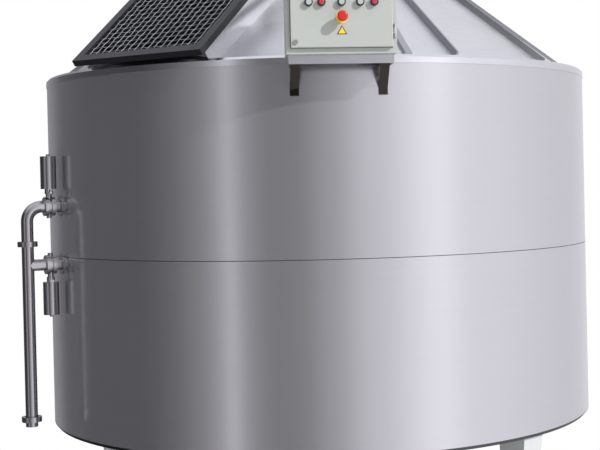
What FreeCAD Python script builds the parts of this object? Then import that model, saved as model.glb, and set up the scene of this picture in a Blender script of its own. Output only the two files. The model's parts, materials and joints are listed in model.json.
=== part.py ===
"""Bulk milk tank: an upright, insulated, cooled cylinder with a conical roof, on four legs.

Millimetres. The origin is on the tank's axis at floor level, +Z is up and -Y is the operator's side.
Azimuth is measured about +Z from -Y, positive towards +X. A radial piece is modelled at azimuth 0,
with +X to its right and -Y outwards, and is then turned to its azimuth.
"""
import FreeCAD, Part
import math
import os

os.makedirs("parts", exist_ok=True)
V = FreeCAD.Vector

# ---- clearances ----
GAP = 0.3            # between curved faces that only lie beside each other
RUN = 0.05           # radial running clearance of a shaft in its bore

# ---- shell ----
SHELL_R = 1250.0     # outside radius of the stainless jacket
SHELL_H = 1540.0     # jacket height, bottom edge to the top of the rim
GROUND = 350.0       # floor to the bottom edge of the jacket
SHELL_T = 2.0
SEAM_H = 757.0       # height of the horizontal seam above the jacket's bottom edge
SEAM_GAP = 3.0
SEAM_STRIP_W = 40.0
SEAM_STRIP_T = 3.0
RIM_BAND_H = 33.0
RIM_BAND_T = 2.0
RIM_CHAMFER = 10.0
BASE_PLATE_T = 3.0
BASE_RING_T = 12.0
BASE_RING_W = 150.0
BASE_RING_INSET = 10.0

# ---- inner vessel and its insulation ----
INSULATION_T = 62.0
VESSEL_T = 4.0
VESSEL_FLANGE_W = 30.0      # the flange reaches this far in from the roof's edge
VESSEL_FLOOR_RISE = 110.0   # jacket bottom edge to the vessel floor at the wall
VESSEL_FLOOR_FALL = 60.0    # fall of the floor from the wall to the outlet
COOLING_H = 520.0
COOLING_CHANNELS = 10
COOLING_DEPTH = 10.0
COOLING_SHEET = 1.5
COOLANT_PIPE_R = 11.0
COOLANT_PIPE_T = 1.5
COOLANT_STUB = 60.0
COOLANT_ROSETTE_R = 16.0
COOLANT_AZ = 172.0

# ---- roof ----
ROOF_SLOPE = 37.5
ROOF_INSET = 80.0           # width of the ledge between the jacket and the roof
ROOF_T = 3.0
ROOF_TOP_R = 150.0
RIB_COUNT = 13
RIB_AZ = 1.0                # azimuth of the first rib
RIB_INSET = 4.0
RIB_H = 26.0
RIB_W = 14.0
RIB_TOP_W = 8.0
RIB_TOP_GAP = 45.0          # rib's top end to the agitator flange's seat
DUCT_AZ = 18.2
DUCT_W = 28.0
DUCT_H = 14.0

# ---- hatch and its grille ----
HATCH_AZ = -33.9
HATCH_TILT = 39.0
HATCH_W = 666.0
HATCH_L = 900.0
HATCH_OVERHANG = 14.0       # from the shell radius out to the grille's lower edge
HATCH_LIFT = 7.0            # grille underside above the rim at its lower edge
GRILLE_BAR = 40.0
GRILLE_T = 27.0
GRILLE_WALL = 2.0
WIRE_R = 1.5
WIRE_PITCH = 30.0
WIRE_DEPTH = 8.0            # frame's top face to the long wires
COAMING_INSET = 25.0
COAMING_END = 45.0
COAMING_TOP_SHIFT = 15.0    # the upper end wall stands this much nearer to the hinges
COAMING_DEPTH = 260.0
COAMING_BELOW = 24.0        # how far the upstand reaches below the roof sheet
COAMING_T = 3.0
COAMING_LIP = 12.0
HINGE_PIN_R = 5.0
HINGE_REACH = 20.0          # grille edge to the hinge pin
HINGE_X = 205.0
EAR_W = 12.0
EAR_R = 9.0
LUG_T = 6.0

# ---- agitator ----
SHAFT_R = 20.0
SHAFT_LOW_Z = 620.0
SEAL_WALL = 12.0
FLANGE_R = 190.0
FLANGE_T = 15.0
GEARBOX_W = 230.0
GEARBOX_H = 170.0
LANTERN_H = 60.0
MOTOR_R = 88.0
MOTOR_H = 230.0
MOTOR_FINS = 28
MOTOR_END_T = 16.0
MOTOR_SEAT_T = 14.0
FAN_COVER_H = 58.0
GEARBOX_CORNER_R = 38.0
SHAFT_GRIP = 75.0           # length of shaft inside the gear case
BLADE_R = 420.0
BLADE_W = 90.0
BLADE_T = 6.0
BLADE_COUNT = 3
BLADE_PITCH = 40.0
HUB_R = 36.0
HUB_H = 90.0

# ---- cleaning head and thermometer pocket ----
CIP_AZ = 150.0
CIP_R = 600.0
CIP_PIPE_R = 19.0
CIP_DROP = 340.0
CIP_RISE = 140.0
CIP_COLLAR_R = 30.0
CIP_FERRULE_R = 25.0
SPRAY_BALL_R = 38.0
SPRAY_BALL_T = 2.0
THERMO_AZ = -150.0
THERMO_R = 800.0
THERMO_BOSS_R = 12.0

# ---- milk pipework, SMS 51 ----
PIPE_R = 25.5
PIPE_T = 1.5
BEND_R = 62.0
VALVES_AZ = -63.0
UPPER_NOZZLE_H = 975.0
LOWER_NOZZLE_H = 726.0
DOWN_PIPE_OUT = 145.0       # shell wall to the vertical pipe's axis
DOWN_PIPE_END_H = 40.0
COLLAR_R = PIPE_R + 4
COLLAR_SET_BACK = 2.0       # union nut's end face to the collar's
TEE_STEP = 0.6              # the branch is this much smaller than the pipe it joins
UNION_R = 42.0
UNION_H = 22.0
UNION_SLOTS = 6
MID_UNION_H = 817.0
END_UNION_H = 72.0
ROSETTE_R = 44.0
ROSETTE_T = 3.0
OUTLET_H = -110.0           # outlet pipe axis from the jacket's bottom edge
OUTLET_LEN = 1085.0
OUTLET_BEND_R = 76.0
OUTLET_TAIL = 60.0

# ---- butterfly valves ----
VALVE_OUT = 49.0            # shell wall to the valve stem
VALVE_FLANGE_R = 41.0
VALVE_FLANGE_T = 17.0
VALVE_WAIST_R = 34.0
VALVE_WAIST_T = 10.0
STEM_R = 6.0
DISC_T = 4.0
ACTUATOR_R = 33.5
ACTUATOR_WALL = 3.0
ACTUATOR_L = 140.0
ACTUATOR_OUT = 75.0         # pipe axis to the actuator
PISTON_STROKE = 25.0
PISTON_T = 18.0
LEVER_L = 160.0
YOKE_R = 17.0
YOKE_H = 22.0
STEM_RISE = 90.0            # stem's top above the actuator's lower face

# ---- legs ----
LEG_AZIMUTHS = (45.0, 135.0, -135.0, -45.0)
LEG_TOP = 130.0
LEG_FOOT = 90.0
LEG_T = 5.0
LEG_INNER_R = 1095.0
FOOT_T = 15.0
FOOT_W = 150.0
FOOT_L = 180.0
ANCHOR_PCD = 2450.0
ANCHOR_HOLE_R = 9.0

# ---- control box ----
BOX_AZ = 4.0
BOX_W = 410.0
BOX_H = 500.0
BOX_D = 150.0
BOX_SHEET = 1.5
BOX_DROP = 15.0             # box bottom below the rim
BOX_STANDOFF = 8.0
BOX_LIP = 24.0
DOOR_INSET_X = 16.0
DOOR_INSET_Z = 22.0
DOOR_T = 18.0
DOOR_SHEET = 2.0
HINGE_OFFSET = 8.0
KNUCKLE_R = 6.0
KNUCKLE_H = 12.0            # half the height of the door's own knuckle
DOOR_PIN_R = 2.5
DOOR_HINGE_END = 82.0       # box end to the middle of a hinge
LOCK_END = 42.0
LOCK_INSET = 17.0
LOCK_R = 9.0
DEVICE_ROW_Z = 187.0
LAMP_XS = (-74.0, 121.0)
BUTTON_XS = (-121.0, 0.0, 69.0)
BEZEL_R = 15.0
BEZEL_OUT = 14.0
CAP_R = 10.5
LAMP_NECK_R = 7.0
BUTTON_STEM_R = 6.0
BUTTON_TRAVEL = 4.0
CONTACT_BLOCK = 28.0
CONTACT_DEPTH = 40.0
ESTOP_Z = 132.0
ESTOP_HEAD_R = 20.0
ESTOP_TRAVEL = 5.0
ESTOP_OUT = 52.0
ESTOP_HEAD_T = 22.0
ESTOP_NECK_R = 8.0
ESTOP_PIN_R = 5.0
ESTOP_BACKING_R = 22.0
CUT_OUT_R = 11.0            # the door's device holes
GLAND_XS = (-40.0, 0.0, 40.0)
GLAND_H = 75.0
CONTROLLER_W = 144.0
CONTROLLER_H = 96.0
CONTROLLER_Z = 330.0
SWITCH_Z = 232.0
SWITCH_PLATE = 62.0
SHELF_INSET = 8.0
SHELF_OUT = 130.0           # shell wall to the shelf's front edge
SHELF_LIP = 34.0
SHELF_T = 3.0
BRACE_INSET = 27.0          # shelf end to the middle of a brace
BRACE_W = 35.0
BRACE_T = 6.0
BRACE_DROP = 117.0

# ---- places that follow from the sizes ----
RIM_Z = GROUND + SHELL_H
SEAM_Z = GROUND + SEAM_H
VESSEL_R = SHELL_R - SHELL_T - INSULATION_T
VESSEL_IN_R = VESSEL_R - VESSEL_T
FLOOR_Z = GROUND + VESSEL_FLOOR_RISE
FLOOR_MID_Z = FLOOR_Z - VESSEL_FLOOR_FALL
ROOF_R = SHELL_R - ROOF_INSET
ROOF_Z = RIM_Z - RIM_BAND_T
SLOPE = math.tan(math.radians(ROOF_SLOPE))
ROOF_TOP_Z = ROOF_Z + (ROOF_R - ROOF_TOP_R) * SLOPE
ROOF_FOOT = ROOF_T / math.sin(math.radians(ROOF_SLOPE))
RIB_RUN = (ROOF_R - RIB_INSET - ROOF_TOP_R - RIB_TOP_GAP) / math.cos(math.radians(ROOF_SLOPE))
VESSEL_TOP_Z = RIM_Z - RIM_BAND_T
COAMING_TOP = HATCH_L - COAMING_END + COAMING_TOP_SHIFT
HINGE_Y = HATCH_L + HINGE_REACH
HINGE_Z = GRILLE_T / 2
COOLING_Z = FLOOR_Z + 20
STUB_ZS = (COOLING_Z + 30, COOLING_Z + COOLING_H - 30)
BORE_R = PIPE_R - PIPE_T
COLLAR_HALF = UNION_H / 2 - COLLAR_SET_BACK
UPPER_Z = GROUND + UPPER_NOZZLE_H
LOWER_Z = GROUND + LOWER_NOZZLE_H
DOWN_R = SHELL_R + DOWN_PIPE_OUT
STEM_AT = SHELL_R + VALVE_OUT
VALVE_HALF = VALVE_FLANGE_T + VALVE_WAIST_T / 2
OUTLET_Z = GROUND + OUTLET_H
BOX_Z = RIM_Z - BOX_DROP
DOOR_W = BOX_W - 2 * DOOR_INSET_X
DOOR_HINGE_ZS = (DOOR_HINGE_END, BOX_H - DOOR_HINGE_END)
LOCK_ZS = (LOCK_END, BOX_H - LOCK_END)
SHELF_W = BOX_W - 2 * SHELF_INSET
BRACE_X = SHELF_W / 2 - BRACE_INSET
BOX_BACK = SHELL_R + BOX_STANDOFF
BOX_FRONT = BOX_BACK + BOX_D
DOOR_FRONT = BOX_FRONT + DOOR_T


def block(x0, x1, y0, y1, z0, z1):
    return Part.makeBox(x1 - x0, y1 - y0, z1 - z0, V(x0, y0, z0))


def rod(radius, start, end):
    start, end = V(*start), V(*end)
    return Part.makeCylinder(radius, start.distanceToPoint(end), start, end - start)


def tube(radius, wall, start, end):
    """A hollow rod with open ends."""
    return rod(radius, start, end).cut(rod(radius - wall, start, end))


def turned(profile):
    """A closed profile of (radius, z) points turned about the Z axis."""
    points = [V(r, 0, z) for r, z in profile]
    return Part.Face(Part.makePolygon(points + points[:1])).revolve(V(0, 0, 0), V(0, 0, 1), 360)


def ring(inner, outer, low, high):
    """A square-edged ring about the Z axis."""
    return turned([(inner, low), (outer, low), (outer, high), (inner, high)])


def plate(points, along, start, thickness):
    """A flat polygon of (a, b) points given a thickness along X or Z."""
    if along == "x":
        ring = [V(start, a, b) for a, b in points]
        push = V(thickness, 0, 0)
    else:
        ring = [V(a, b, start) for a, b in points]
        push = V(0, 0, thickness)
    return Part.Face(Part.makePolygon(ring + ring[:1])).extrude(push)


def bend(radius, wall, centre, start, normal):
    """A quarter bend of pipe, swept about `centre` from the section at `start`."""
    centre, start, normal = V(*centre), V(*start), V(*normal)
    heading = normal.cross(start - centre)
    outer = Part.Face(Part.Wire(Part.makeCircle(radius, start, heading)))
    inner = Part.Face(Part.Wire(Part.makeCircle(radius - wall, start, heading)))
    return outer.cut(inner).revolve(centre, normal, 90)


def joined(first, *others):
    return first.multiFuse(list(others)).removeSplitter()


def to_azimuth(shape, azimuth):
    turned_shape = shape.copy()
    turned_shape.rotate(V(0, 0, 0), V(0, 0, 1), azimuth)
    return turned_shape


def lifted(shape, radius, z, tilt=0.0, azimuth=0.0):
    """From a flat frame (X across, Y up the slope, Z out of it) to the roof."""
    moved = shape.copy()
    moved.rotate(V(0, 0, 0), V(1, 0, 0), tilt)
    moved.translate(V(0, -radius, z))
    return to_azimuth(moved, azimuth)


def save(name, *solids):
    shape = solids[0] if len(solids) == 1 else Part.makeCompound(list(solids))
    shape.exportStep(f"parts/{name}.step")
    print(f"{name:20s} {len(shape.Solids):3d} solid(s)  valid={shape.isValid()}")


def radial_hole(radius, azimuth, z):
    """A cutter for a hole that runs radially through every wall."""
    cutter = rod(radius, (0, -VESSEL_IN_R + 60, z), (0, -SHELL_R - 60, z))
    return to_azimuth(cutter, azimuth)


# ---- shell: jackets, seam strip, rim, floor ----
def cut_all(shape, cutters):
    for cutter in cutters:
        shape = shape.cut(cutter)
    return shape


def jacket_holes():
    milk = [radial_hole(PIPE_R + GAP, VALVES_AZ, z) for z in (UPPER_Z, LOWER_Z)]
    coolant = [radial_hole(COOLANT_PIPE_R + GAP, COOLANT_AZ, z) for z in STUB_ZS]
    return milk + coolant


def shell():
    inner = SHELL_R - SHELL_T
    half_gap = SEAM_GAP / 2
    lower = ring(inner, SHELL_R, GROUND, SEAM_Z - half_gap)
    upper = ring(inner, SHELL_R, SEAM_Z + half_gap, RIM_Z - RIM_CHAMFER - RIM_BAND_T)
    save("lower_jacket", cut_all(lower, jacket_holes()))
    save("upper_jacket", cut_all(upper, jacket_holes()[:1]))

    outer = inner - GAP
    strip = ring(outer - SEAM_STRIP_T, outer, SEAM_Z - SEAM_STRIP_W / 2, SEAM_Z + SEAM_STRIP_W / 2)
    save("seam_strip", cut_all(strip, jacket_holes()[1:2]))

    base = GROUND - BASE_PLATE_T
    ring_out = SHELL_R - BASE_RING_INSET
    ring_in = ring_out - BASE_RING_W
    floor = turned([(0, GROUND), (SHELL_R, GROUND), (SHELL_R, base), (ring_out, base),
                    (ring_out, base - BASE_RING_T), (ring_in, base - BASE_RING_T), (ring_in, base),
                    (0, base)])
    save("bottom_plate", cut_all(floor, floor_holes()))

    face = SHELL_R + GAP
    skin = face + RIM_BAND_T
    inside = ROOF_R + 1
    drop = RIM_CHAMFER
    band = turned([(face, RIM_Z - RIM_BAND_H), (skin, RIM_Z - RIM_BAND_H), (skin, RIM_Z - drop),
                   (skin - drop, RIM_Z), (inside, RIM_Z), (inside, RIM_Z - RIM_BAND_T),
                   (face - drop + 1, RIM_Z - RIM_BAND_T), (face, RIM_Z - drop - 1)])
    save("rim_band", band)


# ---- inner vessel, cooling plate and insulation ----
def floor_holes():
    outlet = rod(PIPE_R + GAP, (0, 0, 0), (0, 0, FLOOR_Z + 50))
    probe = rod(THERMO_BOSS_R + GAP, (0, -THERMO_R, 0), (0, -THERMO_R, FLOOR_Z + 50))
    return [outlet, to_azimuth(probe, THERMO_AZ)]


def vessel():
    """The milk vessel: a dished floor, a plain wall and a flange that carries the roof's foot."""
    flange_in = min(ROOF_R, VESSEL_IN_R) - VESSEL_FLANGE_W
    flange_out = max(ROOF_R, VESSEL_R) + VESSEL_T
    top, under = VESSEL_TOP_Z, VESSEL_TOP_Z - VESSEL_T
    body = turned([(0, FLOOR_MID_Z), (VESSEL_R, FLOOR_Z), (VESSEL_R, under), (flange_out, under),
                   (flange_out, top), (flange_in, top), (flange_in, under), (VESSEL_IN_R, under),
                   (VESSEL_IN_R, FLOOR_Z + VESSEL_T), (0, FLOOR_MID_Z + VESSEL_T)])
    milk = [radial_hole(PIPE_R + GAP, VALVES_AZ, z) for z in (UPPER_Z, LOWER_Z)]
    save("inner_vessel", cut_all(body, milk + floor_holes()))


def cooling_plate():
    """Refrigerant channels pressed into a sheet that is seam-welded round the vessel."""
    land = VESSEL_R + GAP
    pitch = COOLING_H / COOLING_CHANNELS
    crest = land + COOLING_DEPTH
    outside, inside = [], []
    for index in range(COOLING_CHANNELS):
        z = COOLING_Z + index * pitch
        outside += [(land + COOLING_SHEET, z), (crest + COOLING_SHEET, z + 0.25 * pitch),
                    (crest + COOLING_SHEET, z + 0.75 * pitch)]
        inside += [(land, z + COOLING_SHEET), (crest, z + 0.25 * pitch + COOLING_SHEET),
                   (crest, z + 0.75 * pitch - COOLING_SHEET)]
    top = COOLING_Z + COOLING_H
    outside += [(land + COOLING_SHEET, top)]
    inside += [(land, top - COOLING_SHEET)]
    jacket = turned(outside + [(land, top)] + inside[::-1] + [(land, COOLING_Z)])
    stubs, bores = [], []
    root, face, end = -crest + 2 * COOLING_SHEET, -SHELL_R - GAP, -SHELL_R - COOLANT_STUB
    for z in STUB_ZS:
        stub = rod(COOLANT_PIPE_R, (0, root, z), (0, end, z))
        rosette = rod(COOLANT_ROSETTE_R, (0, face, z), (0, face - ROSETTE_T, z))
        stubs.append(to_azimuth(joined(stub, rosette), COOLANT_AZ))
        bores.append(to_azimuth(rod(COOLANT_PIPE_R - COOLANT_PIPE_T, (0, root, z), (0, end, z)), COOLANT_AZ))
    save("cooling_plate", cut_all(joined(jacket, *stubs), bores))


def insulation():
    outer = SHELL_R - SHELL_T - GAP
    inner = VESSEL_R + GAP
    wide = inner + COOLING_DEPTH + COOLING_SHEET + 1
    groove = outer - SEAM_STRIP_T - GAP
    low, high = SEAM_Z - SEAM_STRIP_W / 2 - 1, SEAM_Z + SEAM_STRIP_W / 2 + 1
    top = VESSEL_TOP_Z - VESSEL_T
    plate_low, plate_high = COOLING_Z - 2, COOLING_Z + COOLING_H + 2
    wall = turned([(inner, GROUND), (outer, GROUND), (outer, low), (groove, low), (groove, high),
                   (outer, high),
                   (outer, top - RIM_CHAMFER), (outer - RIM_CHAMFER, top), (inner, top), (inner, plate_high),
                   (wide, plate_high), (wide, plate_low), (inner, plate_low)])
    save("wall_insulation", cut_all(wall, jacket_holes()))
    floor = turned([(0, GROUND), (VESSEL_R, GROUND), (VESSEL_R, FLOOR_Z - GAP), (0, FLOOR_MID_Z - GAP)])
    save("floor_insulation", cut_all(floor, floor_holes()))


# ---- roof ----
def coaming_box(inset):
    """The hatch's upstand as a solid prism in the hatch's flat frame, `inset` inside its outer face."""
    half = HATCH_W / 2 - COAMING_INSET - inset
    return block(-half, half, COAMING_END + inset, COAMING_TOP - inset, -COAMING_DEPTH, 0)


def on_hatch(shape):
    return lifted(shape, SHELL_R + HATCH_OVERHANG, RIM_Z + HATCH_LIFT, HATCH_TILT, HATCH_AZ)


def on_roof(shape, inset, azimuth):
    """From a flat frame to the roof's surface, starting `inset` in from the roof's edge."""
    return lifted(shape, ROOF_R - inset, ROOF_Z + inset * SLOPE, ROOF_SLOPE, azimuth)


def roof():
    cone = turned([(ROOF_R - ROOF_FOOT, ROOF_Z), (ROOF_R, ROOF_Z), (ROOF_TOP_R, ROOF_TOP_Z),
                   (ROOF_TOP_R - ROOF_FOOT, ROOF_TOP_Z)])
    below = coaming_box(-GAP)
    opening = on_hatch(below.fuse(below.translated(V(0, 0, COAMING_DEPTH))))
    cleaning = rod(CIP_COLLAR_R + GAP, (0, -CIP_R, ROOF_Z), (0, -CIP_R, ROOF_TOP_Z + 100))
    save("roof_cone", cut_all(cone, [opening, to_azimuth(cleaning, CIP_AZ)]))

    half, crest = RIB_W / 2, RIB_TOP_W / 2
    section = [V(-half, 0, 0), V(half, 0, 0), V(crest, 0, RIB_H), V(-crest, 0, RIB_H)]
    rib = Part.Face(Part.makePolygon(section + section[:1])).extrude(V(0, RIB_RUN, 0))
    side = HATCH_W / 2 + 5
    grille_room = on_hatch(block(-side, side, -20, HINGE_Y + HINGE_REACH, -COAMING_DEPTH, 200))
    ribs = []
    for index in range(RIB_COUNT):
        piece = on_roof(rib, RIB_INSET, RIB_AZ + index * 360 / RIB_COUNT).cut(grille_room)
        ribs += [solid for solid in piece.Solids if solid.Volume > 1000]
    save("roof_ribs", *ribs)

    duct = block(-DUCT_W / 2, DUCT_W / 2, 0, RIB_RUN, 0, DUCT_H)
    save("roof_duct", on_roof(duct, RIB_INSET, DUCT_AZ))


def hatch():
    walls = coaming_box(0).cut(coaming_box(COAMING_T))
    lip = coaming_box(-COAMING_LIP).cut(coaming_box(COAMING_T))
    lip = lip.common(block(-HATCH_W, HATCH_W, 0, HATCH_L + 50, -COAMING_T, 0))
    upstand = on_hatch(joined(walls, lip))
    below = Part.makeCone(ROOF_R, 0, ROOF_R * SLOPE, V(0, 0, ROOF_Z - COAMING_BELOW))
    under_ledge = rod(2 * SHELL_R, (0, 0, 0), (0, 0, RIM_Z))
    save("hatch_coaming", upstand.cut(below).cut(under_ledge))

    neck = HATCH_L + 3
    crown = HINGE_Z + HINGE_REACH - 6
    back = HINGE_Y + HINGE_REACH - 6
    lug_shape = [(COAMING_TOP, -45), (COAMING_TOP, -COAMING_T), (neck, -COAMING_T), (neck, HINGE_Z + 8),
                 (HINGE_Y - 8, crown), (HINGE_Y + 8, crown), (back, HINGE_Z + 8), (back, -20)]
    hinges = []
    for side in (-1, 1):
        pin_in, pin_out = side * (HINGE_X - EAR_W), side * (HINGE_X + EAR_W)
        lug_x = side * (HINGE_X + EAR_W) - LUG_T / 2
        lug = plate(lug_shape, "x", lug_x, LUG_T)
        pin = rod(HINGE_PIN_R, (pin_in, HINGE_Y, HINGE_Z), (pin_out, HINGE_Y, HINGE_Z))
        hinges.append(on_hatch(joined(lug, pin)))
    save("hatch_hinges", *hinges)

    half = HATCH_W / 2 - COAMING_INSET
    switch = block(half, half + 30, 520, 600, -55, -15)
    lead = rod(6, (half + 15, 505, -35), (half + 15, 520, -35))
    save("hatch_switch", on_hatch(joined(switch, lead)))


def grille_frame():
    half = HATCH_W / 2
    inner = half - GRILLE_BAR
    opening = block(-inner, inner, GRILLE_BAR, HATCH_L - GRILLE_BAR, -1, GRILLE_T + 1)
    bars = block(-half, half, 0, HATCH_L, 0, GRILLE_T).cut(opening)
    wall = GRILLE_WALL
    core = block(-half + wall, half - wall, wall, HATCH_L - wall, wall, GRILLE_T - wall)
    kept = block(-inner - wall, inner + wall, GRILLE_BAR - wall, HATCH_L - GRILLE_BAR + wall,
                 -1, GRILLE_T + 1)
    bars = bars.cut(core.cut(kept))
    ears = []
    for side in (-1, 1):
        start = side * HINGE_X - EAR_W / 2
        ears.append(block(start, start + EAR_W, HATCH_L - 1, HINGE_Y, HINGE_Z - EAR_R, HINGE_Z + EAR_R))
        ears.append(rod(EAR_R, (start, HINGE_Y, HINGE_Z), (start + EAR_W, HINGE_Y, HINGE_Z)))
    frame = joined(bars, *ears)
    pin_hole = rod(HINGE_PIN_R + RUN, (-HATCH_W, HINGE_Y, HINGE_Z), (HATCH_W, HINGE_Y, HINGE_Z))
    save("grille_frame", on_hatch(frame.cut(pin_hole)))


def grille_wires():
    """Long wires up the slope with cross wires lying on them, both butted against the frame."""
    x_edge, y0, y1 = HATCH_W / 2 - GRILLE_BAR, GRILLE_BAR, HATCH_L - GRILLE_BAR
    z_long = GRILLE_T - WIRE_DEPTH
    z_cross = z_long + 2 * WIRE_R
    wires = []
    columns = int(2 * x_edge / WIRE_PITCH)
    for index in range(columns):
        x = (index - (columns - 1) / 2) * WIRE_PITCH
        wires.append(rod(WIRE_R, (x, y0, z_long), (x, y1, z_long)))
    rows = int((y1 - y0) / WIRE_PITCH)
    for index in range(rows):
        y = (y0 + y1) / 2 + (index - (rows - 1) / 2) * WIRE_PITCH
        wires.append(rod(WIRE_R, (-x_edge, y, z_cross), (x_edge, y, z_cross)))
    save("grille_wires", *[on_hatch(wire) for wire in wires])


# ---- agitator drive ----
def drive_flange():
    z = ROOF_TOP_Z
    bolt_at = -FLANGE_R + 18
    bolts = [rod(6, (0, bolt_at, z + FLANGE_T), (0, bolt_at, z + FLANGE_T + 8))]
    bolts = [to_azimuth(bolts[0], index * 45 + 22.5) for index in range(8)]
    save("top_flange", joined(ring(SHAFT_R + SEAL_WALL, FLANGE_R, z, z + FLANGE_T), *bolts))

    bore, sleeve, lip = SHAFT_R + RUN, SHAFT_R + SEAL_WALL - GAP, SHAFT_R + SEAL_WALL + 10
    top = z + FLANGE_T
    profile = [(bore, z), (sleeve, z), (sleeve, top), (lip, top), (lip, top + 14), (bore, top + 14)]
    save("shaft_seal", turned(profile))


def gearbox():
    """A lantern with side windows, the gear case on it and the seat for the motor."""
    half = GEARBOX_W / 2
    z = ROOF_TOP_Z + FLANGE_T
    case_z = z + LANTERN_H
    lantern = turned([(half - 18, z), (half + 10, z), (half + 10, z + 10), (half - 6, z + 10),
                      (half - 6, case_z), (half - 18, case_z)])
    lantern = lantern.cut(block(-half, half, -45, 45, z + 12, case_z - 8))
    case = block(-half, half, -half, half, case_z, case_z + GEARBOX_H)
    upright = [edge for edge in case.Edges if abs(edge.tangentAt(edge.FirstParameter).z) > 0.9]
    seat_r, seat_z = MOTOR_R + 12, case_z + GEARBOX_H
    seat = rod(seat_r, (0, 0, seat_z), (0, 0, seat_z + MOTOR_SEAT_T))
    case = joined(case.makeFillet(GEARBOX_CORNER_R, upright), lantern, seat)
    save("gearbox", case.cut(rod(SHAFT_R + RUN, (0, 0, case_z - 1), (0, 0, case_z + SHAFT_GRIP + 5))))
    save("agitator_shaft", rod(SHAFT_R, (0, 0, SHAFT_LOW_Z), (0, 0, case_z + SHAFT_GRIP)))


def motor():
    z = ROOF_TOP_Z + FLANGE_T + LANTERN_H + GEARBOX_H + MOTOR_SEAT_T
    top = z + MOTOR_H
    end = MOTOR_END_T
    core = rod(MOTOR_R - 14, (0, 0, z), (0, 0, top))
    ends = [rod(MOTOR_R, (0, 0, z), (0, 0, z + end)), rod(MOTOR_R, (0, 0, top - end), (0, 0, top))]
    fin = block(-1.5, 1.5, -MOTOR_R + 2, -MOTOR_R + 20, z + end, top - end)
    fins = [to_azimuth(fin, index * 360 / MOTOR_FINS) for index in range(MOTOR_FINS)]
    terminal = block(-50, 50, MOTOR_R - 20, MOTOR_R + 45, z + 60, z + 160)
    cover = turned([(0, top), (MOTOR_R + 2, top), (MOTOR_R + 2, top + FAN_COVER_H - 14),
                    (MOTOR_R - 12, top + FAN_COVER_H), (0, top + FAN_COVER_H)])
    vents = []
    for radius in (24, 38, 52):
        vent = rod(3.5, (0, -radius, top + FAN_COVER_H - 8), (0, -radius, top + FAN_COVER_H + 2))
        vents += [to_azimuth(vent, index * 20) for index in range(18)]
    save("motor", joined(core, *ends, *fins, terminal), cover.cut(Part.makeCompound(vents)))


def agitator_blades():
    low, high = SHAFT_LOW_Z + 20, SHAFT_LOW_Z + 20 + HUB_H
    hub_bore = SHAFT_R + 2 * RUN
    blades = []
    for index in range(BLADE_COUNT):
        blade = block(-BLADE_W / 2, BLADE_W / 2, -BLADE_R, -HUB_R + 8, -BLADE_T / 2, BLADE_T / 2)
        blade.rotate(V(0, 0, 0), V(0, 1, 0), BLADE_PITCH)
        blade.translate(V(0, 0, (low + high) / 2))
        blades.append(to_azimuth(blade, index * 360 / BLADE_COUNT))
    wheel = joined(ring(hub_bore, HUB_R, low, high), *blades)
    save("agitator_blades", wheel.cut(rod(hub_bore, (0, 0, low - 60), (0, 0, high + 60))))


# ---- cleaning head, thermometer pocket ----
def cleaning_head():
    """A clamp ferrule and pipe through a collar on the roof, with a spray ball slipped over its end."""
    top = ROOF_Z + (ROOF_R - CIP_R) * SLOPE
    wall = PIPE_T
    bore = CIP_PIPE_R - wall
    y = -CIP_R
    collar = tube(CIP_COLLAR_R, CIP_COLLAR_R - bore - 1, (0, y, top - 40), (0, y, top + 35))
    pipe = tube(CIP_PIPE_R, wall, (0, y, top - CIP_DROP), (0, y, top + CIP_RISE))
    ferrule = tube(CIP_FERRULE_R, CIP_FERRULE_R - bore, (0, y, top + CIP_RISE - 6), (0, y, top + CIP_RISE))

    centre = V(0, y, top - CIP_DROP - 25)
    ball = Part.makeSphere(SPRAY_BALL_R, centre).cut(Part.makeSphere(SPRAY_BALL_R - SPRAY_BALL_T, centre))
    jets = []
    for tilt in (-60, -25, 10, 45):
        for turn in range(8):
            jet = rod(1.6, (0, 0, SPRAY_BALL_R - 8), (0, 0, SPRAY_BALL_R + 7))
            jet.rotate(V(0, 0, 0), V(1, 0, 0), 90 + tilt)
            jet.rotate(V(0, 0, 0), V(0, 0, 1), turn * 45 + tilt)
            jet.translate(centre)
            jets.append(jet)
    mouth = rod(CIP_PIPE_R + GAP, (0, y, top - CIP_DROP - 1), (0, y, top - CIP_DROP + 40))
    throat = rod(bore, (0, y, centre.z), (0, y, top - CIP_DROP + 20))
    ball = cut_all(ball, [throat, mouth, Part.makeCompound(jets)])
    save("cip_sprayer", to_azimuth(joined(collar, pipe, ferrule), CIP_AZ), to_azimuth(ball, CIP_AZ))


def thermometer_pocket():
    shoulder, neck, tip = GROUND - 40, FLOOR_Z + 40, FLOOR_Z + 170
    y = -THERMO_R
    well = joined(rod(THERMO_BOSS_R, (0, y, shoulder), (0, y, neck)), rod(6, (0, y, neck), (0, y, tip)),
                  rod(22, (0, y, shoulder - 45), (0, y, shoulder)))
    save("thermowell", to_azimuth(well, THERMO_AZ))


# ---- milk pipework ----
def union_nut(z, y):
    """A slotted round nut about a vertical pipe at (0, y)."""
    nut = tube(UNION_R, UNION_R - COLLAR_R - GAP, (0, y, z - UNION_H / 2), (0, y, z + UNION_H / 2))
    for index in range(UNION_SLOTS):
        slot = block(-5, 5, -UNION_R - 5, -UNION_R + 5, z - UNION_H / 2 - 1, z + UNION_H / 2 + 1)
        slot.rotate(V(0, 0, 0), V(0, 0, 1), index * 360 / UNION_SLOTS)
        slot.translate(V(0, y, 0))
        nut = nut.cut(slot)
    return nut


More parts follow.
